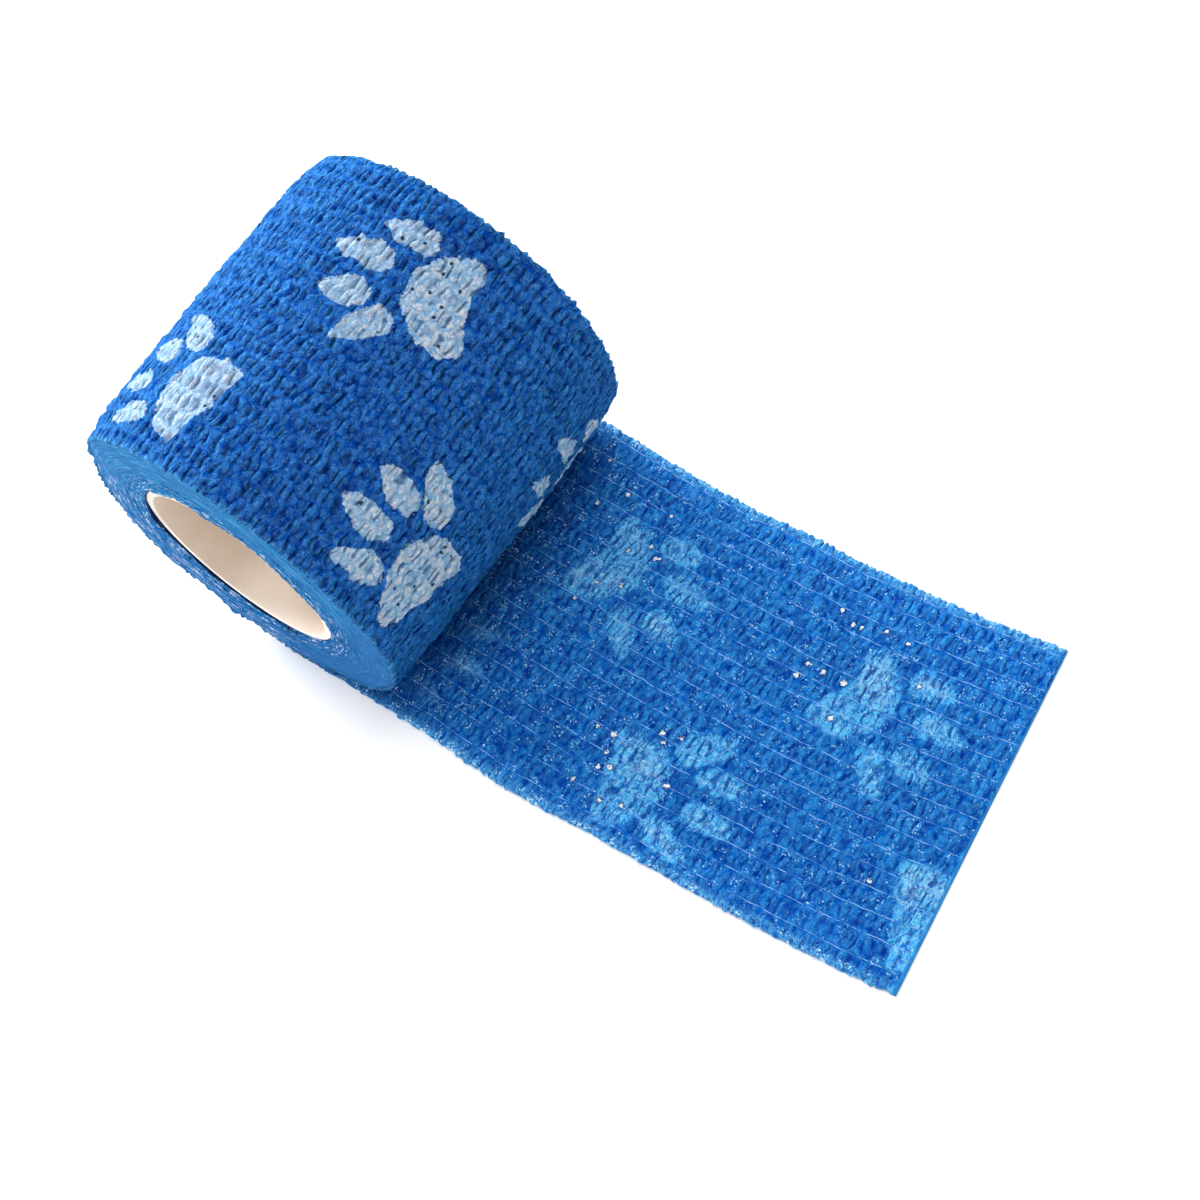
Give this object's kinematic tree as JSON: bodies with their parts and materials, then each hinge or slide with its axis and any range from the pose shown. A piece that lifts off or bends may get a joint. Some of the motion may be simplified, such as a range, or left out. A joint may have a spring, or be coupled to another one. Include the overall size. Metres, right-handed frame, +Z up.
{
  "type": "cohesive bandage roll",
  "caption": "Roll of puckered self-sticking elastic bandage on a plain core, with a loose end drawn out flat.",
  "frame": {"origin": "middle of the bounding box of roll and loose end, on the surface they rest on", "axes": "+X along the loose end, away from the roll; +Y along the roll's axis; +Z up"},
  "size_m": [0.1248, 0.0528, 0.0518],
  "materials": {
    "cloth": "matte puckered nonwoven with elastic threads, printed on its outer face",
    "core": "smooth cream board with a pale cut rim"
  },
  "bodies": {
    "root": {"bandage": "cloth", "core": "core"}
  },
  "joints": []
}
